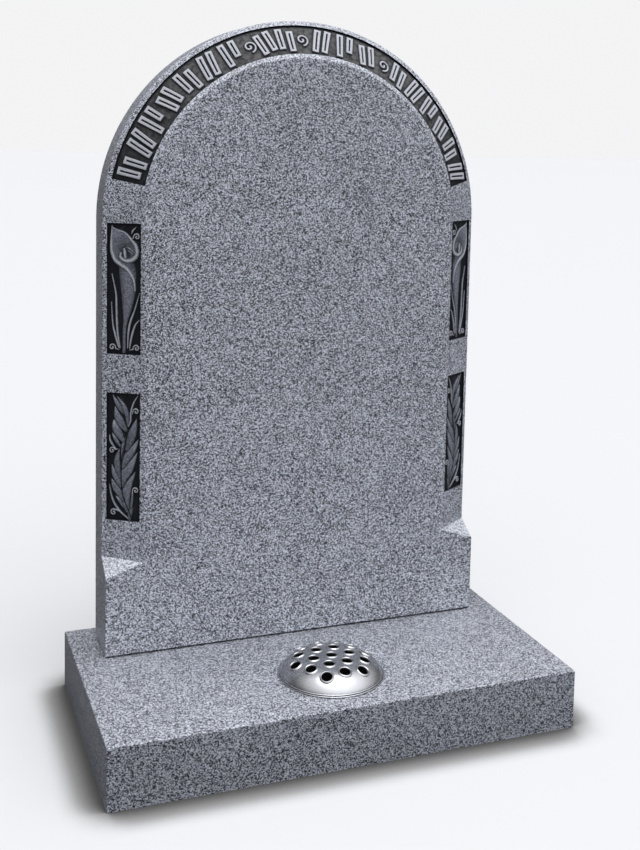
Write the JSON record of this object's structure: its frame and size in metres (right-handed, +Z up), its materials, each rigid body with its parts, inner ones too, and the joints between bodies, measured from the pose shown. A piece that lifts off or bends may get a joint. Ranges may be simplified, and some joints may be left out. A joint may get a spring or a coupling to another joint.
{
  "type": "headstone",
  "caption": "Round-topped granite headstone with a carved chamfered border, on a rectangular base with a flower container let into it under a domed perforated lid.",
  "frame": {"origin": "middle of the base's underside", "axes": "+Z up, the carved face looks along -Y, +X to the right of someone facing it"},
  "size_m": [0.6096, 0.324, 0.9147],
  "materials": {
    "headstone_granite": "polished",
    "base_granite": "polished",
    "container_metal": "satin",
    "lid_metal": "polished"
  },
  "bodies": {
    "root": {"headstone": "headstone_granite", "base": "base_granite", "flower_container": "container_metal", "container_lid": "lid_metal"}
  },
  "joints": []
}
